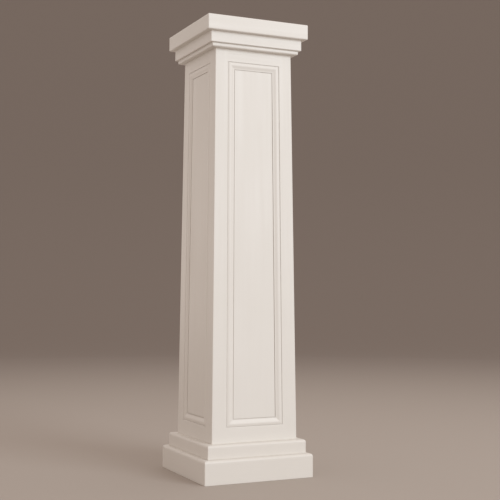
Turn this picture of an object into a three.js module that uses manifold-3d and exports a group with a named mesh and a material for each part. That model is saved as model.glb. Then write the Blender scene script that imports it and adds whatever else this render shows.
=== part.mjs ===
// Square tapered box column of painted wood, with a moulded panel on each side.
// Millimetres, +Z up. The column's axis is the Z axis and z = 0 is its underside.
// Side 0 faces -Y; the other three are the same boards turned about the axis.

import * as THREE from 'three';
import { mergeVertices } from 'three/addons/utils/BufferGeometryUtils.js';
import Module from 'manifold-3d';

// Whole column
const COLUMN_HEIGHT = 1524;
const FIT_GAP = 0.3; // left between any two boards that meet
const SIDES = 4;

// Shaft, a hollow box that narrows upwards
const SHAFT_FOOT_WIDTH = 311.7; // across the flats at the floor
const SHAFT_HEAD_WIDTH = 277.2; // across the flats under the top slab
const WALL_THICKNESS = 20;
const STILE_FOOT_WIDTH = 52.7; // corner to panel opening, at the floor
const STILE_HEAD_WIDTH = 45.5; // the same, under the top slab
const BOTTOM_RAIL_SHOWN = 52; // rail seen above the base boards
const TOP_RAIL_SHOWN = 42.1; // rail seen below the bead
const ARRIS_RADIUS = 2.5; // every upright corner of the column is eased to this

// Panels, let into the back of the stiles and rails
const PANEL_RECESS = 4; // face of the panel behind the face of the stiles
const PANEL_THICKNESS = 11;
const REBATE_WIDTH = 12; // lap of the panel behind the stiles and rails
const CUT_PAST = 5; // a cut that goes right through runs on this far

// Panel moulding: a quirk at the stile, a low crown, and an ogee down to a fillet at the panel
const MOULDING_WIDTH = 24;
const QUIRK_WIDTH = 0.8;
const QUIRK_DEPTH = 3.2; // floor of the quirk behind the face of the stiles
const SHOULDER_HEIGHT = 3; // above the panel, where the rise to the crown begins
const CROWN_HEIGHT = 4.4; // above the panel
const CROWN_INSET = 9; // crown of the moulding from the opening's edge
const FILLET_HEIGHT = 0.8; // square edge of the stick at the panel

// Base, two courses of boards standing on the floor
const BASE_BOARD_THICKNESS = 21.8; // at the floor
const BASE_HEIGHT = 124;
const BASE_EDGE_RADIUS = 8;
const PLINTH_BOARD_THICKNESS = 17.2;
const PLINTH_HEIGHT = 78.5;
const PLINTH_EDGE_RADIUS = 9;

// Cap: bead, band and top slab
const BEAD_PROJECTION = 18.5;
const BEAD_HEIGHT = 12.6;
const BEAD_EDGE_RADIUS = 4.5; // its low edge
const BAND_THICKNESS = 27;
const BAND_HEIGHT = 36.7;
const BAND_EDGE_RADIUS = 2;
const TOP_OVERHANG = 16.5; // top slab past the band
const TOP_THICKNESS = 50.3;
const TOP_BOARD_WIDTH = 90; // outside edge of the slab to its open middle
const TOP_EDGE_RADIUS = 3.5;

// Fineness of the curves
const CURVE_SEGMENTS = 4; // in a quarter circle
const RISE_SEGMENTS = 6;
const OGEE_SEGMENTS = 10;
const ARRIS_STEPS = 2; // in each board's half of a corner
const MERGE_DISTANCE = 1e-4; // vertices closer than this are one

// Paint
const PAINT_COLOUR = 0xe4dcd4;
const PAINT_ROUGHNESS = 0.5;
const PAINT_METALNESS = 0;

// Heights that follow from the sizes above
const topUnderside = COLUMN_HEIGHT - TOP_THICKNESS;
const boardsHead = topUnderside - FIT_GAP; // the shaft and band stop just under the slab
const bandUnderside = topUnderside - BAND_HEIGHT;
const beadTop = bandUnderside - FIT_GAP;
const beadUnderside = beadTop - BEAD_HEIGHT;
const openingFoot = BASE_HEIGHT + BOTTOM_RAIL_SHOWN;
const openingHead = beadUnderside - TOP_RAIL_SHOWN;

const between = (low, high, share) => low + (high - low) * share;

// Half the width of the shaft at a height
const shaftHalf = (z) => between(SHAFT_FOOT_WIDTH, SHAFT_HEAD_WIDTH, z / topUnderside) / 2;

// Half the width of the panel opening at a height
const openingHalf = (z) => shaftHalf(z) - between(STILE_FOOT_WIDTH, STILE_HEAD_WIDTH, z / topUnderside);

// Half widths of the cap and base, each set off from what it is fastened to
const baseHalf = shaftHalf(0) + FIT_GAP + BASE_BOARD_THICKNESS;
const plinthHalf = baseHalf + FIT_GAP + PLINTH_BOARD_THICKNESS;
const bandHalf = shaftHalf(bandUnderside) + FIT_GAP + BAND_THICKNESS;
const topHalf = bandHalf + TOP_OVERHANG;

// A mitred end stops this far short of the mitre plane, measured along the board
const mitreRelief = (FIT_GAP / 2) * Math.SQRT2;

const wasm = await Module();
wasm.setup();

const column = new THREE.Group();

function addBoard(name, geometry, side) {
  const paint = new THREE.MeshStandardMaterial({
    color: PAINT_COLOUR,
    roughness: PAINT_ROUGHNESS,
    metalness: PAINT_METALNESS,
  });
  const board = new THREE.Mesh(geometry, paint);
  board.name = `${name}_${side + 1}`;
  board.rotation.z = (side * 2 * Math.PI) / SIDES;
  column.add(board);
}

function addToEachSide(name, geometry) {
  for (let side = 0; side < SIDES; side += 1) addBoard(name, geometry, side);
}

// Extrudes an outline in equal steps and then puts every vertex in its place on side 0.
// place(u, v, step) gets the outline's own coordinates and the number of the step.
function extrudeInto(outline, steps, place) {
  const extruded = new THREE.ExtrudeGeometry(outline, {
    depth: steps,
    steps,
    bevelEnabled: false,
    curveSegments: CURVE_SEGMENTS,
  });
  extruded.deleteAttribute('normal');
  extruded.deleteAttribute('uv');
  const geometry = mergeVertices(extruded, MERGE_DISTANCE);
  const position = geometry.attributes.position;
  for (let i = 0; i < position.count; i += 1) {
    const step = Math.round(position.getZ(i));
    position.setXYZ(i, ...place(position.getX(i), position.getY(i), step));
  }
  if (signedVolume(geometry) < 0) turnInsideOut(geometry);
  geometry.computeVertexNormals();
  return geometry;
}

function signedVolume(geometry) {
  const corners = [new THREE.Vector3(), new THREE.Vector3(), new THREE.Vector3()];
  let volume = 0;
  for (let i = 0; i < geometry.index.count; i += 3) {
    corners.forEach((corner, k) => {
      corner.fromBufferAttribute(geometry.attributes.position, geometry.index.getX(i + k));
    });
    volume += corners[0].dot(corners[1].clone().cross(corners[2])) / 6;
  }
  return volume;
}

function turnInsideOut(geometry) {
  const order = geometry.index.array;
  for (let i = 0; i < order.length; i += 3) {
    [order[i + 1], order[i + 2]] = [order[i + 2], order[i + 1]];
  }
}

// A board that runs across side 0 and is mitred at both ends, in a ring of four.
// Its outline has u outwards from the column's axis and v upwards. Where u comes within
// arris of the ring's outer half width, the corner is rounded.
function ringBoard(outline, outerHalf, arris) {
  const cornerSteps = arris > 0 ? ARRIS_STEPS : 0;
  const lastStep = 2 * cornerSteps + 1;
  return extrudeInto(outline, lastStep, (u, z, step) => {
    const right = step > cornerSteps;
    const turned = right ? step - cornerSteps - 1 : cornerSteps - step;
    const share = cornerSteps > 0 ? turned / cornerSteps : 1;
    const angle = (share * Math.PI) / 4;
    const radius = Math.max(0, arris - (outerHalf - u));
    const along = u - arris + (arris - radius) * share + radius * Math.sin(angle) - mitreRelief;
    const out = u - radius + radius * Math.cos(angle);
    return [right ? along : -along, -out, z];
  });
}

// A board in the wall of the shaft, flat on both faces, that leans with the side.
// Its outline is seen from the front, with v upwards; across(u, z) gives its true x.
// The outline is extruded from the face of the wall to its back.
function wallBoard(outline, faceDepth, backDepth, across) {
  return extrudeInto(outline, 1, (u, z, step) => {
    const depth = step === 0 ? faceDepth : backDepth;
    return [across(u, z), depth - shaftHalf(z), z];
  });
}

function rectangle(left, right, bottom, top) {
  return new THREE.Shape([
    new THREE.Vector2(left, bottom),
    new THREE.Vector2(right, bottom),
    new THREE.Vector2(right, top),
    new THREE.Vector2(left, top),
  ]);
}

function solidOf(geometry) {
  return new wasm.Manifold(
    new wasm.Mesh({
      numProp: 3,
      vertProperties: new Float32Array(geometry.attributes.position.array),
      triVerts: new Uint32Array(geometry.index.array),
    }),
  );
}

function geometryOf(solid) {
  const mesh = solid.getMesh();
  const geometry = new THREE.BufferGeometry();
  geometry.setAttribute('position', new THREE.BufferAttribute(mesh.vertProperties, mesh.numProp));
  geometry.setIndex(new THREE.BufferAttribute(mesh.triVerts, 1));
  geometry.computeVertexNormals();
  return geometry;
}

function cutAway(geometry, cutter) {
  return geometryOf(solidOf(geometry).subtract(solidOf(cutter)));
}

// The panel's own shape, or the pocket that it sits in when it is made larger all round
function panelBlank(enlargedBy, faceDepth, backDepth) {
  const reach = REBATE_WIDTH + enlargedBy;
  const outline = rectangle(-1, 1, openingFoot - reach, openingHead + reach);
  return wallBoard(outline, faceDepth, backDepth, (u, z) => u * (openingHalf(z) + reach));
}

function addPanels() {
  const panel = panelBlank(-FIT_GAP, PANEL_RECESS, PANEL_RECESS + PANEL_THICKNESS);
  addToEachSide('panel', panel);
}

// Plan of a stile at the floor, right of the opening: u from the corner, v behind the face.
// Points beyond the mitre follow the opening's edge as the stile narrows upwards.
function stileOutline() {
  const outline = new THREE.Shape();
  outline.moveTo(STILE_FOOT_WIDTH, 0);
  outline.lineTo(ARRIS_RADIUS, 0);
  outline.absarc(ARRIS_RADIUS, ARRIS_RADIUS, ARRIS_RADIUS, -Math.PI / 2, (-3 * Math.PI) / 4, true);
  outline.lineTo(WALL_THICKNESS, WALL_THICKNESS);
  outline.lineTo(STILE_FOOT_WIDTH, WALL_THICKNESS);
  return outline;
}

function addStiles(pocket) {
  const outline = stileOutline();
  for (const [hand, mirror] of [['left', -1], ['right', 1]]) {
    const stile = extrudeInto(outline, 1, (u, depth, step) => {
      const z = step === 0 ? 0 : boardsHead;
      const onOpening = u > WALL_THICKNESS;
      const x = onOpening ? openingHalf(z) : shaftHalf(z) - u - mitreRelief;
      return [mirror * x, depth - shaftHalf(z), z];
    });
    addToEachSide(`stile_${hand}`, cutAway(stile, pocket));
  }
}

function addRails(pocket) {
  const across = (u, z) => u * (openingHalf(z) - FIT_GAP);
  const bottomRail = wallBoard(rectangle(-1, 1, 0, openingFoot), 0, WALL_THICKNESS, across);
  const topRail = wallBoard(rectangle(-1, 1, openingHead, boardsHead), 0, WALL_THICKNESS, across);
  addToEachSide('bottom_rail', cutAway(bottomRail, pocket));
  addToEachSide('top_rail', cutAway(topRail, pocket));
}

// Section of the moulding: u inwards from the opening's edge, v above the panel's face
function mouldingOutline() {
  const quirkFloor = PANEL_RECESS - QUIRK_DEPTH;
  const outline = new THREE.Shape();
  outline.moveTo(FIT_GAP, FIT_GAP);
  outline.lineTo(FIT_GAP, quirkFloor);
  outline.lineTo(QUIRK_WIDTH, quirkFloor);
  outline.lineTo(QUIRK_WIDTH, SHOULDER_HEIGHT);
  for (let i = 1; i <= RISE_SEGMENTS; i += 1) {
    const share = i / RISE_SEGMENTS;
    const height = between(SHOULDER_HEIGHT, CROWN_HEIGHT, Math.sin((share * Math.PI) / 2));
    outline.lineTo(between(QUIRK_WIDTH, CROWN_INSET, share), height);
  }
  for (let i = 1; i <= OGEE_SEGMENTS; i += 1) {
    const share = i / OGEE_SEGMENTS;
    const fallen = (1 - Math.cos(Math.PI * share)) / 2;
    const height = between(CROWN_HEIGHT, FILLET_HEIGHT, fallen);
    outline.lineTo(between(CROWN_INSET, MOULDING_WIDTH, share), height);
  }
  outline.lineTo(MOULDING_WIDTH, FIT_GAP);
  return outline;
}

// Four mitred sticks around each panel
function addMouldings() {
  const outline = mouldingOutline();
  const out = (z, height) => PANEL_RECESS - height - shaftHalf(z);

  const level = (edge, inwards) => extrudeInto(outline, 1, (u, height, step) => {
    const z = edge + inwards * u;
    const x = openingHalf(z) - u - mitreRelief;
    return [step === 0 ? -x : x, out(z, height), z];
  });
  addToEachSide('moulding_bottom', level(openingFoot, 1));
  addToEachSide('moulding_top', level(openingHead, -1));

  const upright = (mirror) => extrudeInto(outline, 1, (u, height, step) => {
    const set = u + mitreRelief;
    const z = step === 0 ? openingFoot + set : openingHead - set;
    return [mirror * (openingHalf(z) - u), out(z, height), z];
  });
  addToEachSide('moulding_left', upright(-1));
  addToEachSide('moulding_right', upright(1));
}

// Base course: back against the leaning shaft, face upright, top edge rounded
function addBaseBoards() {
  const outline = new THREE.Shape();
  outline.moveTo(shaftHalf(0) + FIT_GAP, 0);
  outline.lineTo(baseHalf, 0);
  outline.lineTo(baseHalf, BASE_HEIGHT - BASE_EDGE_RADIUS);
  roundTopEdge(outline, baseHalf, BASE_HEIGHT, BASE_EDGE_RADIUS);
  outline.lineTo(shaftHalf(BASE_HEIGHT) + FIT_GAP, BASE_HEIGHT);
  addToEachSide('base_board', ringBoard(outline, baseHalf, ARRIS_RADIUS));
}

function addPlinthBoards() {
  const outline = new THREE.Shape();
  outline.moveTo(baseHalf + FIT_GAP, 0);
  outline.lineTo(plinthHalf, 0);
  outline.lineTo(plinthHalf, PLINTH_HEIGHT - PLINTH_EDGE_RADIUS);
  roundTopEdge(outline, plinthHalf, PLINTH_HEIGHT, PLINTH_EDGE_RADIUS);
  outline.lineTo(baseHalf + FIT_GAP, PLINTH_HEIGHT);
  addToEachSide('plinth_board', ringBoard(outline, plinthHalf, ARRIS_RADIUS));
}

function roundTopEdge(outline, outer, top, radius) {
  outline.absarc(outer - radius, top - radius, radius, 0, Math.PI / 2, false);
}

function roundBottomEdge(outline, outer, bottom, radius) {
  outline.absarc(outer - radius, bottom + radius, radius, -Math.PI / 2, 0, false);
}

// Bead under the band: a strip with an upright face and a rounded low edge
function addBeads() {
  const back = shaftHalf(beadUnderside) + FIT_GAP;
  const outer = back + BEAD_PROJECTION;
  const outline = new THREE.Shape();
  outline.moveTo(back, beadTop);
  outline.lineTo(back, beadUnderside);
  outline.lineTo(outer - BEAD_EDGE_RADIUS, beadUnderside);
  roundBottomEdge(outline, outer, beadUnderside, BEAD_EDGE_RADIUS);
  outline.lineTo(outer, beadTop);
  addToEachSide('bead', ringBoard(outline, outer, ARRIS_RADIUS));
}

function addBandBoards() {
  const outline = new THREE.Shape();
  outline.moveTo(shaftHalf(bandUnderside) + FIT_GAP, bandUnderside);
  outline.lineTo(bandHalf - BAND_EDGE_RADIUS, bandUnderside);
  roundBottomEdge(outline, bandHalf, bandUnderside, BAND_EDGE_RADIUS);
  outline.lineTo(bandHalf, boardsHead);
  outline.lineTo(shaftHalf(boardsHead) + FIT_GAP, boardsHead);
  addToEachSide('band_board', ringBoard(outline, bandHalf, ARRIS_RADIUS));
}

function addTopBoards() {
  const inner = topHalf - TOP_BOARD_WIDTH;
  const outline = new THREE.Shape();
  outline.moveTo(inner, topUnderside);
  outline.lineTo(topHalf - TOP_EDGE_RADIUS, topUnderside);
  roundBottomEdge(outline, topHalf, topUnderside, TOP_EDGE_RADIUS);
  roundTopEdge(outline, topHalf, COLUMN_HEIGHT, TOP_EDGE_RADIUS);
  outline.lineTo(inner, COLUMN_HEIGHT);
  addToEachSide('top_board', ringBoard(outline, topHalf, ARRIS_RADIUS));
}

const pocket = panelBlank(0, PANEL_RECESS - FIT_GAP, WALL_THICKNESS + CUT_PAST);
addPlinthBoards();
addBaseBoards();
addStiles(pocket);
addRails(pocket);
addPanels();
addMouldings();
addBeads();
addBandBoards();
addTopBoards();

export default column;
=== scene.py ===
import math
import bpy
import numpy as np
from mathutils import Matrix, Vector


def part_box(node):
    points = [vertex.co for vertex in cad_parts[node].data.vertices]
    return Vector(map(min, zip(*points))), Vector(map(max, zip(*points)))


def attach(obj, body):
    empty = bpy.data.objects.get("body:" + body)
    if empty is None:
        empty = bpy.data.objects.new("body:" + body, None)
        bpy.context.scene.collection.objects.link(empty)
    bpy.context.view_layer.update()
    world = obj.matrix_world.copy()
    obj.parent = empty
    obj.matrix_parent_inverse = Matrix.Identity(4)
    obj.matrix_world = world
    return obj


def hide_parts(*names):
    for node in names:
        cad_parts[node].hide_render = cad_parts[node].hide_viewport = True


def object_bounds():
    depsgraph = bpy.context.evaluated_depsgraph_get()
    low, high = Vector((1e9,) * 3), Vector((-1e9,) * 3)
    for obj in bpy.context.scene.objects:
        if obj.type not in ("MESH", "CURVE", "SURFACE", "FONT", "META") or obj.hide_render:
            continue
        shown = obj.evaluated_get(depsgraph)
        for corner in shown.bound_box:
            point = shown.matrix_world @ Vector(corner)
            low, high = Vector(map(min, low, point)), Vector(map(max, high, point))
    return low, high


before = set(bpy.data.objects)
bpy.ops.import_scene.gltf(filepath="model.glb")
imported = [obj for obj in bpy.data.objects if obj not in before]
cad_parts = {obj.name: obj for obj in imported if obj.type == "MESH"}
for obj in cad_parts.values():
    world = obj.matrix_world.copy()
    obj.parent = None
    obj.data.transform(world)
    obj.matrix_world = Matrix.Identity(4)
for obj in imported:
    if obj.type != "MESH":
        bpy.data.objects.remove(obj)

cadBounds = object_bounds()
sides = 4
fitGap = 0.0003  # left between the boards of the frame, closed by paint here
atEnd = 0.00001  # slack when points are picked at a board's end


# Sizes read from the frame

def frameVertices(node):
    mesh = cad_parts[node].data
    flat = np.empty(len(mesh.vertices) * 3)
    mesh.vertices.foreach_get("co", flat)
    return flat.reshape(-1, 3)


def lineThrough(lowZ, lowValue, highZ, highValue):
    slope = (highValue - lowValue) / (highZ - lowZ)
    return lambda z: lowValue + slope * (z - lowZ)


def endValues(vertices, values):
    # the largest value at a board's foot and at its head, each after its height
    z = vertices[:, 2]
    low = values[z < z.min() + atEnd].max()
    high = values[z > z.max() - atEnd].max()
    return z.min(), low, z.max(), high


def readSizes():
    stile = frameVertices("stile_right_1")
    panel = frameVertices("panel_1")
    bottomRail = frameVertices("bottom_rail_1")
    topRail = frameVertices("top_rail_1")
    railEnds = np.vstack([bottomRail, topRail])
    sizes = {
        "shaftHalf": lineThrough(*endValues(stile, -stile[:, 1])),
        "openingHalf": lineThrough(*endValues(railEnds, railEnds[:, 0] + fitGap)),
        "boardsHead": stile[:, 2].max(),
        "openingFoot": bottomRail[:, 2].max(),
        "openingHead": topRail[:, 2].min(),
        "wall": np.ptp(stile[stile[:, 2] < atEnd][:, 1]),
    }
    foot = panel[:, 2].min()
    sizes["recess"] = sizes["shaftHalf"](foot) + panel[:, 1].min()
    sizes["panelBack"] = sizes["recess"] + np.ptp(panel[panel[:, 2] < foot + atEnd][:, 1])
    sizes["lap"] = sizes["openingFoot"] - foot + fitGap
    for name in ("plinth_board", "base_board", "bead", "band_board", "top_board"):
        low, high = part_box(name + "_1")
        sizes[name] = {"outer": -low[1], "inner": -high[1], "low": low[2], "high": high[2]}
    return sizes


sizes = readSizes()
shaftHalf, openingHalf = sizes["shaftHalf"], sizes["openingHalf"]
footWidth, headWidth = 2 * shaftHalf(0), 2 * shaftHalf(sizes["boardsHead"])
print("sizes read: foot", round(1000 * footWidth), "mm, head", round(1000 * headWidth), "mm")


# Outlines

def arc(centre, radii, fromAngle, toAngle, count):
    # points round an ellipse, angles in degrees
    angle = np.radians(np.linspace(fromAngle, toAngle, count))
    return np.column_stack([centre[0] + radii[0] * np.cos(angle), centre[1] + radii[1] * np.sin(angle)])


def easedCorner(corner, radius, fromAngle, count=7):
    # a quarter round inside the corner, turning anticlockwise from fromAngle
    quadrant = math.radians(fromAngle + 45)
    centre = (corner[0] - radius * np.sign(math.cos(quadrant)),
              corner[1] - radius * np.sign(math.sin(quadrant)))
    return arc(centre, (radius, radius), fromAngle, fromAngle + 90, count)


def joined(*stretches):
    return np.vstack([np.atleast_2d(s) for s in stretches])


def turned(points, side):
    # the same points on another side of the column
    angle = side * 2 * math.pi / sides
    c, s = math.cos(angle), math.sin(angle)
    return points @ np.array([[c, s, 0], [-s, c, 0], [0, 0, 1]])


# Meshes

meshLook = {"hold": 0.003, "sharpAngle": 24, "seamSlack": 1e-9}


def cornerTurn(outline):
    # how far the closed outline turns at each point, in quarter turns: above 0 on outer edges
    ahead = np.roll(outline, -1, axis=0) - outline
    behind = outline - np.roll(outline, 1, axis=0)
    cross = behind[:, 0] * ahead[:, 1] - behind[:, 1] * ahead[:, 0]
    area = (outline[:, 0] * np.roll(outline, -1, axis=0)[:, 1]).sum()
    area -= (outline[:, 1] * np.roll(outline, -1, axis=0)[:, 0]).sum()
    return np.sign(area) * np.arctan2(cross, (behind * ahead).sum(axis=1)) / (math.pi / 2)


def holdEnds(grid, turns, across):
    # splits each long stretch between neighbours, along the second axis, near both its ends. Across a
    # board the new points carry no outward turn, so what is painted by turn stays close to the edge
    if across:
        grid, turns = (np.concatenate([a, a[:, :1]], axis=1) for a in (grid, turns))
    step = np.diff(grid, axis=1)
    length = np.linalg.norm(step, axis=2).mean(axis=0)
    hold = meshLook["hold"]
    copies = np.where(length > 3 * hold, 3, 1)
    source = np.repeat(np.arange(len(length)), copies)
    order = np.arange(len(source)) - np.repeat(np.cumsum(copies) - copies, copies)
    share = np.choose(order, [0 * source, hold / length[source], 1 - hold / length[source]])
    points = grid[:, source] + share[:, None] * step[:, source]
    first, last = turns[:, source], turns[:, source + 1]
    values = first + share * (last - first)
    if across:
        return points, np.where((order > 0) & ((first != last) | (first > 0)), 0, values), source
    points = np.concatenate([points, grid[:, -1:]], axis=1)
    return points, np.concatenate([values, turns[:, -1:]], axis=1), source


def boardMesh(name, grid, turns, bareSpans):
    # grid holds one closed outline at each station along the board, [station, point, xyz].
    # Quads join neighbouring outlines and one face closes each end.
    grid, turns, source = holdEnds(grid, turns, True)
    bareSpans = np.asarray(bareSpans)[source]
    grid, turns, _ = holdEnds(grid.swapaxes(0, 1), turns.swapaxes(0, 1), False)
    grid, turns = grid.swapaxes(0, 1), turns.swapaxes(0, 1)
    stations, count = grid.shape[:2]
    index = np.arange(stations * count).reshape(stations, count)
    following = np.roll(index, -1, axis=1)
    quads = np.stack([index[:-1], index[1:], following[1:], following[:-1]], axis=-1).reshape(-1, 4)
    faces = quads.tolist() + [index[0].tolist(), index[-1][::-1].tolist()]
    vertices = grid.reshape(-1, 3)
    if enclosedVolume(vertices, quads, index) < 0:
        faces = [face[::-1] for face in faces]
    mesh = bpy.data.meshes.new(name)
    mesh.from_pydata(vertices.tolist(), [], faces)
    layBoardMap(mesh, grid, faces)
    bare = np.append(np.tile(bareSpans, stations - 1), [True, True]).astype(float)
    mesh.attributes.new("bareWood", "FLOAT", "FACE").data.foreach_set("value", bare)
    mesh.attributes.new("cornerTurn", "FLOAT", "POINT").data.foreach_set("value", turns.ravel())
    mesh.polygons.foreach_set("use_smooth", np.ones(len(faces), dtype=bool))
    mesh.set_sharp_from_angle(angle=math.radians(meshLook["sharpAngle"]))
    mesh.update()
    return mesh


def enclosedVolume(vertices, quads, index):
    first = np.vstack([quads[:, [0, 1, 2]], quads[:, [0, 2, 3]]])
    fans = [np.column_stack([np.full(index.shape[1] - 2, ring[0]), ring[1:-1], ring[2:]])
            for ring in (index[0], index[-1][::-1])]
    a, b, c = (vertices[np.vstack([first] + fans)[:, k]] for k in range(3))
    return np.einsum("ij,ij->i", a, np.cross(b, c)).sum() / 6


def layBoardMap(mesh, grid, faces):
    # map in metres: first axis along the board, second round its outline
    along = np.linalg.norm(np.diff(grid.mean(axis=1), axis=0), axis=1).cumsum()
    along = np.concatenate([[0], along])[:, None] + 0 * grid[:, :, 0]
    closed = np.concatenate([grid[0], grid[0][:1]])
    round_ = np.concatenate([[0], np.linalg.norm(np.diff(closed, axis=0), axis=1).cumsum()])
    around = np.broadcast_to(round_[:-1], along.shape)
    corner = np.concatenate(faces)
    flat = np.column_stack([along.ravel()[corner], around.ravel()[corner]])
    loopStart = np.cumsum([0] + [len(face) for face in faces[:-1]])
    owner = np.repeat(np.arange(len(faces)), [len(face) for face in faces])
    highest = np.maximum.reduceat(flat[:, 1], loopStart)[owner]
    slack = meshLook["seamSlack"]
    wraps = (highest > round_[-2] - slack) & (flat[:, 1] < slack) & (owner < len(faces) - 2)
    flat[wraps, 1] = round_[-1]
    layer = mesh.uv_layers.new(name="board")
    layer.data.foreach_set("uv", flat.ravel())


def addPiece(mesh, node, material):
    piece = bpy.data.objects.new(mesh.name, mesh)
    bpy.context.scene.collection.objects.link(piece)
    mesh.materials.append(material)
    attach(piece, "root")
    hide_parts(node)


# Shader groups that the paints share

def newGroup(name, inputs, outputs):
    group = bpy.data.node_groups.new(name, "ShaderNodeTree")
    for label, kind, value in inputs:
        socket = group.interface.new_socket(name=label, in_out="INPUT", socket_type="NodeSocket" + kind)
        if value is not None:
            socket.default_value = value
    for label, kind in outputs:
        group.interface.new_socket(name=label, in_out="OUTPUT", socket_type="NodeSocket" + kind)
    enter = group.nodes.new("NodeGroupInput")
    leave = group.nodes.new("NodeGroupOutput")
    return group, enter, leave


def addNode(tree, kind, values=None, **settings):
    node = tree.nodes.new("ShaderNode" + kind)
    for key, value in settings.items():
        setattr(node, key, value)
    for key, value in (values or {}).items():
        node.inputs[key].default_value = value
    return node


def wire(tree, *pairs):
    for source, target in pairs:
        tree.links.new(source, target)


def mathNode(tree, operation, first, second, clamp=False):
    node = addNode(tree, "Math", operation=operation, use_clamp=clamp)
    for socket, value in zip(node.inputs, (first, second)):
        if isinstance(value, (int, float)):
            socket.default_value = value
        else:
            tree.links.new(value, socket)
    return node.outputs[0]


def mixColours(tree, factor, first, second, blend="MIX"):
    node = addNode(tree, "Mix", data_type="RGBA", blend_type=blend)
    for socket, value in zip((node.inputs[0], node.inputs[6], node.inputs[7]), (factor, first, second)):
        if isinstance(value, (int, float, tuple)):
            socket.default_value = value
        else:
            tree.links.new(value, socket)
    return node.outputs[2]


def makeBrushMarks():
    # long fine furrows of a brush along the board, and the slow unevenness under them
    group, enter, leave = newGroup(
        "brushMarks",
        [("Board", "Vector", None), ("Place", "Vector", None), ("Furrow Depth", "Float", 0.00003),
         ("Waviness", "Float", 0.00010)],
        [("Height", "Float"), ("Streak", "Float"), ("Mottle", "Float")])
    stretch = addNode(group, "Mapping", {"Scale": (7.0, 420.0, 1.0)})
    furrow = addNode(group, "TexNoise", {"Scale": 1.0, "Detail": 4.0, "Roughness": 0.6})
    broadStretch = addNode(group, "Mapping", {"Scale": (2.2, 60.0, 1.0)})
    broad = addNode(group, "TexNoise", {"Scale": 1.0, "Detail": 2.0, "Roughness": 0.5})
    slow = addNode(group, "TexNoise", {"Scale": 9.0, "Detail": 2.0, "Roughness": 0.45})
    mottle = addNode(group, "TexNoise", {"Scale": 3.1, "Detail": 3.0, "Roughness": 0.55})
    wire(group, (enter.outputs["Board"], stretch.inputs["Vector"]),
         (stretch.outputs[0], furrow.inputs["Vector"]),
         (enter.outputs["Board"], broadStretch.inputs["Vector"]),
         (broadStretch.outputs[0], broad.inputs["Vector"]),
         (enter.outputs["Place"], slow.inputs["Vector"]),
         (enter.outputs["Place"], mottle.inputs["Vector"]))
    both = mathNode(group, "ADD", furrow.outputs[0], mathNode(group, "MULTIPLY", broad.outputs[0], 1.5))
    fine = mathNode(group, "MULTIPLY", both, enter.outputs["Furrow Depth"])
    wave = mathNode(group, "MULTIPLY", slow.outputs[0], enter.outputs["Waviness"])
    wire(group, (mathNode(group, "ADD", fine, wave), leave.inputs["Height"]),
         (broad.outputs[0], leave.inputs["Streak"]), (mottle.outputs[0], leave.inputs["Mottle"]))
    return group


def makeEdgeLightAndShade():
    # painted highlight on rounded outer edges, broken up so that it comes and goes, and painted shade in
    # the inner corners, where shade falls
    group, enter, leave = newGroup(
        "edgeLightAndShade", [("Place", "Vector", None), ("Patchiness", "Float", 40.0)],
        [("EdgeHighlight", "Float"), ("ShadeInCreases", "Float")])
    turn = addNode(group, "Attribute", attribute_name="cornerTurn")
    patches = addNode(group, "TexNoise", {"Detail": 4.0, "Roughness": 0.7})
    wire(group, (enter.outputs["Place"], patches.inputs["Vector"]),
         (enter.outputs["Patchiness"], patches.inputs["Scale"]))
    outer = addNode(group, "MapRange", {"From Min": 0.03, "From Max": 0.16})
    inner = addNode(group, "MapRange", {"From Min": -0.03, "From Max": -0.5})
    come = addNode(group, "MapRange", {"From Min": 0.42, "From Max": 0.66, "To Min": 0.25})
    wire(group, (turn.outputs["Fac"], outer.inputs["Value"]),
         (turn.outputs["Fac"], inner.inputs["Value"]), (patches.outputs[0], come.inputs["Value"]))
    edgeHighlit = mathNode(group, "MULTIPLY", outer.outputs[0], come.outputs[0], clamp=True)
    wire(group, (edgeHighlit, leave.inputs["EdgeHighlight"]), (inner.outputs[0], leave.inputs["ShadeInCreases"]))
    return group


pineLook = {"early": (0.62, 0.44, 0.26, 1), "late": (0.44, 0.27, 0.13, 1), "fibre": (0.70, 0.52, 0.33, 1),
            "fibreShare": 0.5, "fibreHeight": 0.00006}


def makeSawnPine():
    # unpainted softwood: growth rings as long bands, darker late wood, fine fibres
    group, enter, leave = newGroup("sawnPine", [("Board", "Vector", None)],
                                   [("Colour", "Color"), ("Height", "Float")])
    stretch = addNode(group, "Mapping", {"Scale": (1.4, 34.0, 1.0)})
    bands = addNode(group, "TexWave", {"Scale": 1.0, "Distortion": 5.0, "Detail": 3.0},
                    bands_direction="Y")
    fibreStretch = addNode(group, "Mapping", {"Scale": (20.0, 900.0, 1.0)})
    fibre = addNode(group, "TexNoise", {"Scale": 1.0, "Detail": 3.0})
    wire(group, (enter.outputs["Board"], stretch.inputs["Vector"]),
         (stretch.outputs[0], bands.inputs["Vector"]),
         (enter.outputs["Board"], fibreStretch.inputs["Vector"]),
         (fibreStretch.outputs[0], fibre.inputs["Vector"]))
    look = pineLook
    wood = mixColours(group, bands.outputs["Fac"], look["early"], look["late"])
    pale = mathNode(group, "MULTIPLY", fibre.outputs[0], look["fibreShare"])
    colour = mixColours(group, pale, wood, look["fibre"])
    wire(group, (colour, leave.inputs["Colour"]),
         (mathNode(group, "MULTIPLY", fibre.outputs[0], look["fibreHeight"]), leave.inputs["Height"]))
    return group


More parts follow.
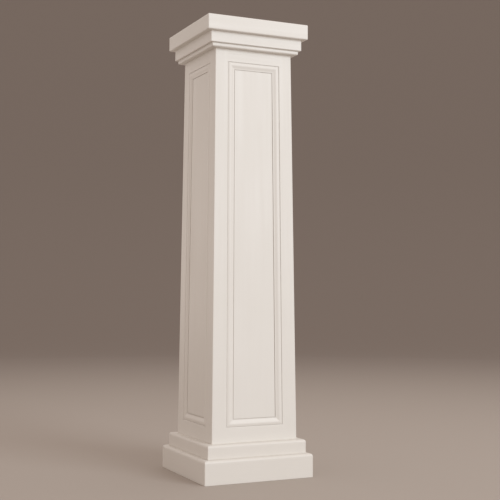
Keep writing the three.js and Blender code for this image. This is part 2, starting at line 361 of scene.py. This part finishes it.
def makeLedgeShade():
    # a thin uneven line of painted shade on whatever stands on a ledge, just above the ledge's height,
    # where shade gathers at the join
    group, enter, leave = newGroup(
        "ledgeShade", [("Place", "Vector", None), ("Ledge", "Float", 0.1), ("Reach", "Float", 0.003)],
        [("ShadeLine", "Float")])
    axes = addNode(group, "SeparateXYZ")
    patches = addNode(group, "TexNoise", {"Scale": 26.0, "Detail": 3.0, "Roughness": 0.6})
    wire(group, (enter.outputs["Place"], axes.inputs[0]),
         (enter.outputs["Place"], patches.inputs["Vector"]))
    above = mathNode(group, "SUBTRACT", axes.outputs["Z"], enter.outputs["Ledge"])
    fade = mathNode(group, "DIVIDE", above, enter.outputs["Reach"])
    near = mathNode(group, "SUBTRACT", 1.0, fade, clamp=True)
    clear = mathNode(group, "GREATER_THAN", fade, 0.03)  # leaves out the ledge itself
    uneven = addNode(group, "MapRange", {"From Min": 0.35, "From Max": 0.6, "To Min": 0.45})
    wire(group, (patches.outputs[0], uneven.inputs["Value"]))
    line = mathNode(group, "MULTIPLY", near, clear)
    wire(group, (mathNode(group, "MULTIPLY", line, uneven.outputs[0]), leave.inputs["ShadeLine"]))
    return group


groups = {"brushMarks": makeBrushMarks(), "edgeLightAndShade": makeEdgeLightAndShade(), "sawnPine": makeSawnPine(),
          "ledgeShade": makeLedgeShade()}
print("shader groups made:", ", ".join(groups))


# Paints, one for each part of the column

# furrow and wave are heights in metres; the other shares are of another tone: painted highlight on outer
# edges, painted shade in inner corners and painted shade just above a ledge
# the cap's paint is a touch paler and the base's a touch darker than the shaft's
paintLooks = {
    "shaftPaint": {"colour": (0.800, 0.772, 0.728, 1), "roughness": 0.46, "furrow": 0.00003,
                   "wave": 0.00012, "edgeShading": 0.30, "creaseShade": 0.45,
                   "ledge": sizes["base_board"]["high"], "contactShade": 0.5},
    "mouldingPaint": {"colour": (0.805, 0.776, 0.732, 1), "roughness": 0.42, "furrow": 0.00002,
                      "wave": 0.00006, "edgeShading": 0.25, "creaseShade": 0.5},
    "basePaint": {"colour": (0.790, 0.758, 0.712, 1), "roughness": 0.50, "furrow": 0.00004,
                  "wave": 0.00016, "edgeShading": 0.40, "creaseShade": 0.30,
                  "ledge": sizes["plinth_board"]["high"], "contactShade": 0.5},
    "capPaint": {"colour": (0.812, 0.786, 0.745, 1), "roughness": 0.46, "furrow": 0.00003,
                 "wave": 0.00014, "edgeShading": 0.30, "creaseShade": 0.25},
}

# each tone of a paint as shares of its red, green and blue: the first the paint's own uneven tone, the
# second a painted highlight for outer edges, the third painted shade for creases and for the foot of what
# stands on a ledge
toneShares = {"deep": (0.95, 0.945, 0.93), "pale": (1.05, 1.05, 1.05), "paintedShade": (0.62, 0.57, 0.50)}


def toneOf(look, tone):
    shares = zip(look["colour"][:3], toneShares[tone])
    return tuple(min(1.0, channel * share) for channel, share in shares) + (1,)


def makePaint(name, look):
    material = bpy.data.materials.new(name)
    material.use_nodes = True
    tree = material.node_tree
    tree.nodes.clear()
    coordinates = addNode(tree, "TexCoord")
    board = addNode(tree, "UVMap", uv_map="board")
    marks = addNode(tree, "Group", node_tree=groups["brushMarks"])
    marks.inputs["Furrow Depth"].default_value = look["furrow"]
    marks.inputs["Waviness"].default_value = look["wave"]
    edgeShading = addNode(tree, "Group", node_tree=groups["edgeLightAndShade"])
    pine = addNode(tree, "Group", node_tree=groups["sawnPine"])
    bare = addNode(tree, "Attribute", attribute_name="bareWood")
    wire(tree, (board.outputs[0], marks.inputs["Board"]), (board.outputs[0], pine.inputs["Board"]),
         (coordinates.outputs["Object"], marks.inputs["Place"]),
         (coordinates.outputs["Object"], edgeShading.inputs["Place"]))

    deep, pale, paintedShade = (toneOf(look, tone) for tone in ("deep", "pale", "paintedShade"))
    tone = addNode(tree, "MapRange", {"From Min": 0.3, "From Max": 0.7})
    streak = addNode(tree, "MapRange", {"From Min": 0.35, "From Max": 0.65, "To Max": 0.18})
    wire(tree, (marks.outputs["Mottle"], tone.inputs["Value"]),
         (marks.outputs["Streak"], streak.inputs["Value"]))
    mottled = mathNode(tree, "MULTIPLY", tone.outputs[0], 0.55)
    paint = mixColours(tree, mottled, look["colour"], deep)
    paint = mixColours(tree, streak.outputs[0], paint, deep)
    # paler rounded outer edges: a painted highlight
    edgeHighlit = mathNode(tree, "MULTIPLY", edgeShading.outputs["EdgeHighlight"], look["edgeShading"])
    paint = mixColours(tree, edgeHighlit, paint, pale)
    # darker inner corners and creases: painted shade
    shadedCreases = mathNode(tree, "MULTIPLY", edgeShading.outputs["ShadeInCreases"], look["creaseShade"])
    paint = mixColours(tree, shadedCreases, paint, paintedShade)
    # darker just above a ledge: painted shade where the part meets it
    if "ledge" in look:
        line = addNode(tree, "Group", node_tree=groups["ledgeShade"])
        line.inputs["Ledge"].default_value = look["ledge"]
        wire(tree, (coordinates.outputs["Object"], line.inputs["Place"]))
        contactShade = mathNode(tree, "MULTIPLY", line.outputs[0], look["contactShade"])
        paint = mixColours(tree, contactShade, paint, paintedShade)
    colour = mixColours(tree, bare.outputs["Fac"], paint, pine.outputs["Colour"])

    sheen = addNode(tree, "MapRange", {"From Min": 0.3, "From Max": 0.7,
                                       "To Min": look["roughness"] - 0.05,
                                       "To Max": look["roughness"] + 0.07})
    wire(tree, (marks.outputs["Streak"], sheen.inputs["Value"]))
    bareRoughness = mathNode(tree, "MULTIPLY", bare.outputs["Fac"], 0.8)
    roughness = mathNode(tree, "MAXIMUM", sheen.outputs[0], bareRoughness)
    fibres = mathNode(tree, "MULTIPLY", pine.outputs["Height"], bare.outputs["Fac"])
    height = mathNode(tree, "ADD", marks.outputs["Height"], fibres)
    bump = addNode(tree, "Bump", {"Strength": 1.0, "Distance": 1.0})
    shader = addNode(tree, "BsdfPrincipled", {"IOR": 1.47})
    output = addNode(tree, "OutputMaterial")
    wire(tree, (height, bump.inputs["Height"]), (bump.outputs[0], shader.inputs["Normal"]),
         (colour, shader.inputs["Base Color"]), (roughness, shader.inputs["Roughness"]),
         (shader.outputs[0], output.inputs["Surface"]))
    return material


paints = {name: makePaint(name, look) for name, look in paintLooks.items()}
print("paints mixed:", ", ".join(paints))


# Boards that run round the column, mitred at its corners

ringLook = {"arris": 0.0025, "cornerSteps": 6}


def ringGrid(outline):
    # outline is [outward, up], with u outward. Towards each mitre the points swing through the angle a
    # round a corner whose radius r is the arris at the outermost face and shrinks inwards to nothing:
    # along = u - arris + (arris - r) share + r sin(a), out = u - r + r cos(a)
    arris, steps = ringLook["arris"], ringLook["cornerSteps"]
    share = np.arange(steps + 1) / steps
    share = np.concatenate([share[::-1], share])[:, None]
    hand = np.repeat([-1.0, 1.0], steps + 1)[:, None]
    u, z = outline[None, :, 0], outline[None, :, 1]
    radius = np.maximum(0, arris - (u.max() - u))
    angle = share * math.pi / 4
    along = u - arris + (arris - radius) * share + radius * np.sin(angle)
    out = u - radius + radius * np.cos(angle)
    swing = np.where(share > 0, 0.5, 0) * (radius > 0) / steps
    return np.stack([hand * along, -out, z + 0 * along], axis=-1), cornerTurn(outline) + swing


def addToSides(pieceName, nodeName, grid, turns, bareSpans, material):
    turns = np.broadcast_to(turns, grid.shape[:2])
    for side in range(sides):
        mesh = boardMesh(f"{pieceName}{side + 1}", turned(grid, side), turns, bareSpans)
        addPiece(mesh, f"{nodeName}_{side + 1}", material)


def addRing(pieceName, nodeName, outline, bareSpans, material):
    grid, turns = ringGrid(outline)
    addToSides(pieceName, nodeName, grid, turns, bareSpans, material)


def spansBelow(outline, inwardLimit, lowLimit):
    # marks each stretch of the outline that lies against the shaft or on what is below
    following = np.roll(outline, -1, axis=0)
    back = (outline[:, 0] < inwardLimit) & (following[:, 0] < inwardLimit)
    under = (outline[:, 1] < lowLimit) & (following[:, 1] < lowLimit)
    return back | under


hair = 0.0001  # slack when points are picked by where they are

plinthLook = {"topEdge": 0.009, "footEdge": 0.0012}


def addPlinth():
    at = sizes["plinth_board"]
    outer, inner, top = at["outer"], at["inner"], at["high"]
    outline = joined((inner, 0), easedCorner((outer, 0), plinthLook["footEdge"], -90, 4),
                     easedCorner((outer, top), plinthLook["topEdge"], 0, 10), (inner, top))
    addRing("plinthBoard", "plinth_board", outline,
            spansBelow(outline, inner + hair, hair), paints["basePaint"])


baseLook = {"topEdge": 0.008}


def addBase():
    at = sizes["base_board"]
    outer, top = at["outer"], at["high"]
    outline = joined((shaftHalf(0), 0), (outer, 0), easedCorner((outer, top), baseLook["topEdge"], 0, 10),
                     (shaftHalf(top), top))
    addRing("baseBoard", "base_board", outline,
            spansBelow(outline, shaftHalf(0) + hair, hair), paints["basePaint"])


beadLook = {"lowEdge": 0.0045, "topEdge": 0.0006}


def addBead():
    at = sizes["bead"]
    outer, low = at["outer"], at["low"]
    top = sizes["band_board"]["low"]
    back = shaftHalf(low)
    outline = joined((back, low), easedCorner((outer, low), beadLook["lowEdge"], -90, 12),
                     easedCorner((outer, top), beadLook["topEdge"], 0, 4), (back, top))
    addRing("bead", "bead", outline, spansBelow(outline, back + hair, 0), paints["capPaint"])


bandLook = {"lowEdge": 0.002}


def addBand():
    at = sizes["band_board"]
    outer, low = at["outer"], at["low"]
    top = sizes["top_board"]["low"]
    outline = joined((shaftHalf(low), low), easedCorner((outer, low), bandLook["lowEdge"], -90),
                     (outer, top), (shaftHalf(top), top))
    addRing("bandBoard", "band_board", outline,
            spansBelow(outline, shaftHalf(low) + hair, 0), paints["capPaint"])


topLook = {"edge": 0.0035}


def addTop():
    at = sizes["top_board"]
    outer, inner, low, high = at["outer"], at["inner"], at["low"], at["high"]
    outline = joined((inner, low), easedCorner((outer, low), topLook["edge"], -90),
                     easedCorner((outer, high), topLook["edge"], 0), (inner, high))
    addRing("topBoard", "top_board", outline, spansBelow(outline, inner + hair, 0),
            paints["capPaint"])


# Shaft: stiles, rails and panels

shaftLook = {"openingEdge": 0.0008, "arris": 0.0025, "arrisPoints": 7, "openingShade": -0.6}


def onSide(x, depth, z):
    # a point of side 1 from its place across, its depth behind the face, and its height
    x, depth, z = np.broadcast_arrays(x, depth, z)
    return np.stack([x, depth - shaftHalf(z), z], axis=-1)


def addStiles():
    # plan of a stile at ten heights: its corner keeps to the mitre, its other edge to the opening.
    # The panel's rebate and the eased edge of the opening are there only between their own heights
    wall, lip, lap = sizes["wall"], sizes["recess"] - fitGap, sizes["lap"]
    foot, head, top = sizes["openingFoot"], sizes["openingHead"], sizes["top_board"]["low"]
    arris, easing = shaftLook["arris"], shaftLook["openingEdge"]
    corner = arc((arris, arris), (arris, arris), -90, -135, shaftLook["arrisPoints"])
    eased = arc((1, 1), (1, 1), 180, 270, 4)  # a unit quarter round, sized at each height
    heights = np.array([0, foot - lap, foot - lap, foot, foot, head, head, head + lap, head + lap, top])
    rebated = np.array([0, 0, 1, 1, 1, 1, 1, 1, 0, 0])[:, None] * lap
    easedBy = np.array([0, 0, 0, 0, 1, 1, 0, 0, 0, 0])[:, None] * easing
    z = heights[:, None]
    flat = np.ones_like(z)
    fromCorner = np.hstack([flat * corner[:, 0], flat * wall])
    cornerDepth = np.hstack([flat * corner[:, 1], flat * wall])
    fromOpening = np.hstack([rebated, rebated, 0 * z, easedBy * eased[:, 0]])
    openingDepth = np.hstack([flat * wall, flat * lip, flat * lip, easedBy * eased[:, 1]])
    x = np.hstack([shaftHalf(z) - fromCorner, openingHalf(z) + fromOpening])
    depth = np.hstack([cornerDepth, openingDepth])
    outline = np.column_stack([x[4], depth[4]])
    turns = cornerTurn(outline)
    turns[len(corner) + 3] = shaftLook["openingShade"]  # painted shade where it meets the moulding's quirk
    firstBare = len(corner) - 1  # the mitre, the back and the rebate
    bareSpans = np.isin(np.arange(len(outline)), firstBare + np.arange(4))
    for hand, mirror in (("Left", -1), ("Right", 1)):
        addToSides(f"stile{hand}", f"stile_{hand.lower()}", onSide(mirror * x, depth, z), turns,
                   bareSpans, paints["shaftPaint"])


def addRails():
    # section of a rail, [depth, up], carried from stile to stile
    wall, lip, lap = sizes["wall"], sizes["recess"] - fitGap, sizes["lap"]
    easing = shaftLook["openingEdge"]
    for pieceName, nodeName, edge, far, up in (
            ("bottomRail", "bottom_rail", sizes["openingFoot"], 0, 1),
            ("topRail", "top_rail", sizes["openingHead"], sizes["top_board"]["low"], -1)):
        eased = arc((easing, -easing), (easing, easing), 180, 90, 4)
        outline = joined((0, far), eased * [1, up] + [0, edge], (lip, edge), (lip, edge - up * lap),
                         (wall, edge - up * lap), (wall, far))
        depth, z = outline.T
        hand = np.array([-1, 1])[:, None]
        bareSpans = depth >= lip - hair
        bareSpans[-1] = True
        addToSides(pieceName, nodeName, onSide(hand * openingHalf(z), depth, z), cornerTurn(outline),
                   bareSpans, paints["shaftPaint"])


panelLook = {"grooveWidth": 0.0018, "grooveDepth": 0.0018, "grooveWall": 0.0003, "grooveEdge": 0.0005,
             "grooveShade": -0.4}


def addPanels():
    # a flat board with a fine groove that runs round it just inside the moulding. Both across and up,
    # the points are set off inwards from the opening, and the nearer of the two gives the depth
    look = panelLook
    face, back, reach = sizes["recess"], sizes["panelBack"], sizes["lap"] - fitGap
    start = mouldingLook["width"]
    end = start + look["grooveWidth"]
    inward = np.array([-reach, start - 2 * look["grooveWall"], start - look["grooveWall"],
                       end - look["grooveWall"], end, end + look["grooveEdge"]])
    sunk = np.array([0, 0, 1, 1, 0.15, 0]) * look["grooveDepth"]
    across = np.concatenate([inward, inward[::-1]])
    hand = np.repeat([-1, 1], len(inward))
    z = np.concatenate([sizes["openingFoot"] + inward, sizes["openingHead"] - inward[::-1]])[:, None]
    nearer = np.minimum(across[:, None], across[None, :])
    depth = face + np.interp(nearer, inward, sunk)
    x = hand * (openingHalf(z) - across)
    x = np.hstack([x, x[:, [-1, 0]]])
    depth = np.hstack([depth, np.full((len(z), 2), back)])
    outline = np.column_stack([x[0], depth[0]])
    # the groove's floor turns inwards, so it takes painted shade
    turns = np.where((depth > face + look["grooveDepth"] / 2) & (depth < back), look["grooveShade"], 0)
    bareSpans = np.arange(len(outline)) >= len(outline) - 3
    addToSides("panel", "panel", onSide(x, depth, z), turns, bareSpans, paints["shaftPaint"])


# Panel moulding, four mitred sticks in each panel

mouldingLook = {"width": 0.0240, "quirkWidth": 0.0008, "quirkDepth": 0.0032, "shoulder": 0.0030,
                "shoulderEase": 0.0004, "crown": 0.0044, "crownInset": 0.0090, "fillet": 0.0008,
                "risePoints": 12, "ogeePoints": 20}


def mouldingOutline():
    # [inward from the opening's edge, height above the panel]. The rise from the shoulder to the
    # crown is a quarter of a sine wave, the ogee from there to the fillet half a cosine wave
    look = mouldingLook
    quirkFloor = sizes["recess"] - look["quirkDepth"]
    share = np.linspace(0, 1, look["risePoints"])
    risen = np.sin(share * math.pi / 2)
    rise = np.column_stack([look["quirkWidth"] + share * (look["crownInset"] - look["quirkWidth"]),
                            look["shoulder"] + (look["crown"] - look["shoulder"]) * risen])
    rise[0] = look["quirkWidth"], rise[0, 1] - look["shoulderEase"]
    share = np.linspace(0, 1, look["ogeePoints"])[1:]
    fallen = (1 - np.cos(math.pi * share)) / 2
    ogee = np.column_stack([look["crownInset"] + share * (look["width"] - look["crownInset"]),
                            look["crown"] + fallen * (look["fillet"] - look["crown"])])
    quirk = joined((0, quirkFloor), (look["quirkWidth"], quirkFloor))
    return joined((0, 0), quirk, rise, ogee, (look["width"], 0))


def addMouldings():
    outline = mouldingOutline()
    u, height = outline.T
    depth = sizes["recess"] - height
    foot, head = sizes["openingFoot"], sizes["openingHead"]
    hand = np.array([-1, 1])[:, None]
    turns = cornerTurn(outline)
    bareSpans = np.arange(len(u)) == len(u) - 1
    bothEnds = np.stack([foot + u, head - u])
    for name, mirror, z in (("Bottom", hand, foot + u), ("Top", hand, head - u),
                            ("Left", -1, bothEnds), ("Right", 1, bothEnds)):
        grid = onSide(mirror * (openingHalf(z) - u), depth, z)
        addToSides(f"moulding{name}", f"moulding_{name.lower()}", grid, turns, bareSpans,
                   paints["mouldingPaint"])


for addPart in (addPlinth, addBase, addStiles, addRails, addPanels, addMouldings,
                addBead, addBand, addTop):
    addPart()


# Studio

studioLook = {
    "floorRings": (0.0001, 0.5, 1.5, 3.0, 6.0), "coveCurve": 2.0, "coveHeight": 5.0, "bendPoints": 16,
    "sweepSteps": 96, "litColour": (0.47, 0.415, 0.37, 1), "dimColour": (0.235, 0.195, 0.170, 1),
    "nearTo": 0.4, "farFrom": 7.0, "roughness": 0.9, "gloss": 0.2,
    "skyColour": (1.0, 0.885, 0.82, 1), "skyStrength": 0.70,
}

# azimuth in degrees to the right of the column's front, elevation above the height that the box
# faces. Distance, height faced and size in metres, spread in degrees, power in watts
lightLooks = {
    "keyLight": {"azimuth": 24, "elevation": 18, "distance": 10.0, "faces": 0.76, "size": (5.0, 5.0),
                 "spread": 180, "power": 490, "colour": (0.876, 0.949, 1.0)},
    "sideLight": {"azimuth": -146, "elevation": 0, "distance": 1.0, "faces": 1.0, "size": (0.5, 1.1),
                  "spread": 75, "power": 0.17, "colour": (1.0, 0.93, 0.86)},
}


def makeStudioPaper():
    # a painted pool of light: pale under the column and darker towards the wall, by the distance from the
    # column's foot
    look = studioLook
    material = bpy.data.materials.new("studioPaper")
    material.use_nodes = True
    tree = material.node_tree
    place = addNode(tree, "TexCoord")
    distance = addNode(tree, "VectorMath", operation="LENGTH")
    fade = addNode(tree, "MapRange", {"From Min": look["nearTo"], "From Max": look["farFrom"]},
                   interpolation_type="SMOOTHSTEP")
    wire(tree, (place.outputs["Object"], distance.inputs[0]),
         (distance.outputs["Value"], fade.inputs["Value"]))
    shader = tree.nodes["Principled BSDF"]
    shader.inputs["Roughness"].default_value = look["roughness"]
    shader.inputs["Specular IOR Level"].default_value = look["gloss"]
    colour = mixColours(tree, fade.outputs[0], look["litColour"], look["dimColour"])
    wire(tree, (colour, shader.inputs["Base Color"]))
    return material


def addSweep(name, profile, material):
    # a profile of [radius, height] turned about the Z axis, faces towards the column
    angle = np.linspace(0, 2 * math.pi, studioLook["sweepSteps"] + 1)[:-1, None]
    radius, z = profile.T
    grid = np.stack([radius * np.cos(angle), radius * np.sin(angle), z + 0 * angle], -1)
    index = np.arange(grid.shape[0] * len(profile)).reshape(-1, len(profile))
    following = np.roll(index, -1, axis=0)
    quads = np.stack([index[:, :-1], index[:, 1:], following[:, 1:], following[:, :-1]], -1)
    quads = quads.reshape(-1, 4)
    mesh = bpy.data.meshes.new(name)
    mesh.from_pydata(grid.reshape(-1, 3).tolist(), [], quads.tolist())
    mesh.polygons.foreach_set("use_smooth", np.ones(len(mesh.polygons), dtype=bool))
    mesh.materials.append(material)
    sweep = bpy.data.objects.new(name, mesh)
    bpy.context.scene.collection.objects.link(sweep)
    return sweep


def addCove():
    # the floor is a real surface. The wall that it curves up into is only seen: the sky's light
    # passes it, so it shades nothing
    look = studioLook
    paper = makeStudioPaper()
    rings, curve = look["floorRings"], look["coveCurve"]
    addSweep("floor", np.array([(radius, 0) for radius in rings]), paper)
    bend = arc((rings[-1], curve), (curve, curve), -90, 0, look["bendPoints"])
    wall = addSweep("coveWall", joined(bend, (bend[-1, 0], look["coveHeight"])), paper)
    wall.visible_diffuse = wall.visible_glossy = wall.visible_shadow = False


def addSky():
    sky = bpy.data.worlds.new("studioSky")
    bpy.context.scene.world = sky
    sky.use_nodes = True
    background = sky.node_tree.nodes["Background"]
    background.inputs["Color"].default_value = studioLook["skyColour"]
    background.inputs["Strength"].default_value = studioLook["skyStrength"]


def addLight(name, look):
    # a soft box that faces the column's axis
    light = bpy.data.lights.new(name, "AREA")
    light.shape = "RECTANGLE"
    light.size, light.size_y = look["size"]
    light.spread = math.radians(look["spread"])
    light.energy = look["power"]
    light.color = look["colour"]
    box = bpy.data.objects.new(name, light)
    azimuth, elevation = math.radians(look["azimuth"]), math.radians(look["elevation"])
    towards = Vector((math.sin(azimuth) * math.cos(elevation), -math.cos(azimuth) * math.cos(elevation),
                      math.sin(elevation)))
    box.location = Vector((0, 0, look["faces"])) + towards * look["distance"]
    box.rotation_euler = towards.to_track_quat("Z", "Y").to_euler()
    box.visible_camera = False
    bpy.context.scene.collection.objects.link(box)


# Camera, in heights of the column: how far back, how far to its right, how high

cameraLook = {"back": 2.29634, "right": 0.03107, "up": 0.41131, "heading": 24.90, "pitch": 2.2125,
              "roll": 0.135, "focalPixels": 1012.47, "imagePixels": 500, "sensor": 36.0, "clipEnd": 100}


def addCamera():
    look = cameraLook
    height = cadBounds[1][2]
    heading, pitch, roll = (math.radians(look[k]) for k in ("heading", "pitch", "roll"))
    level = Vector((math.sin(heading), math.cos(heading), 0))
    across = Vector((math.cos(heading), -math.sin(heading), 0))
    forward = level * math.cos(pitch) + Vector((0, 0, math.sin(pitch)))
    up = across.cross(forward)
    right = across * math.cos(roll) + up * math.sin(roll)
    up = right.cross(forward)
    place = (across * look["right"] - level * look["back"] + Vector((0, 0, look["up"]))) * height
    data = bpy.data.cameras.new("camera")
    data.sensor_width = look["sensor"]
    data.lens = look["sensor"] * look["focalPixels"] / look["imagePixels"]
    data.clip_end = look["clipEnd"]
    camera = bpy.data.objects.new("camera", data)
    axes = Matrix((right, up, -forward)).transposed()
    camera.matrix_world = Matrix.Translation(place) @ axes.to_4x4()
    bpy.context.scene.collection.objects.link(camera)
    bpy.context.scene.camera = camera


addCove()
addSky()
for name, look in lightLooks.items():
    addLight(name, look)
addCamera()
bpy.context.scene.view_settings.view_transform = "Standard"
print("studio, lights and camera placed")
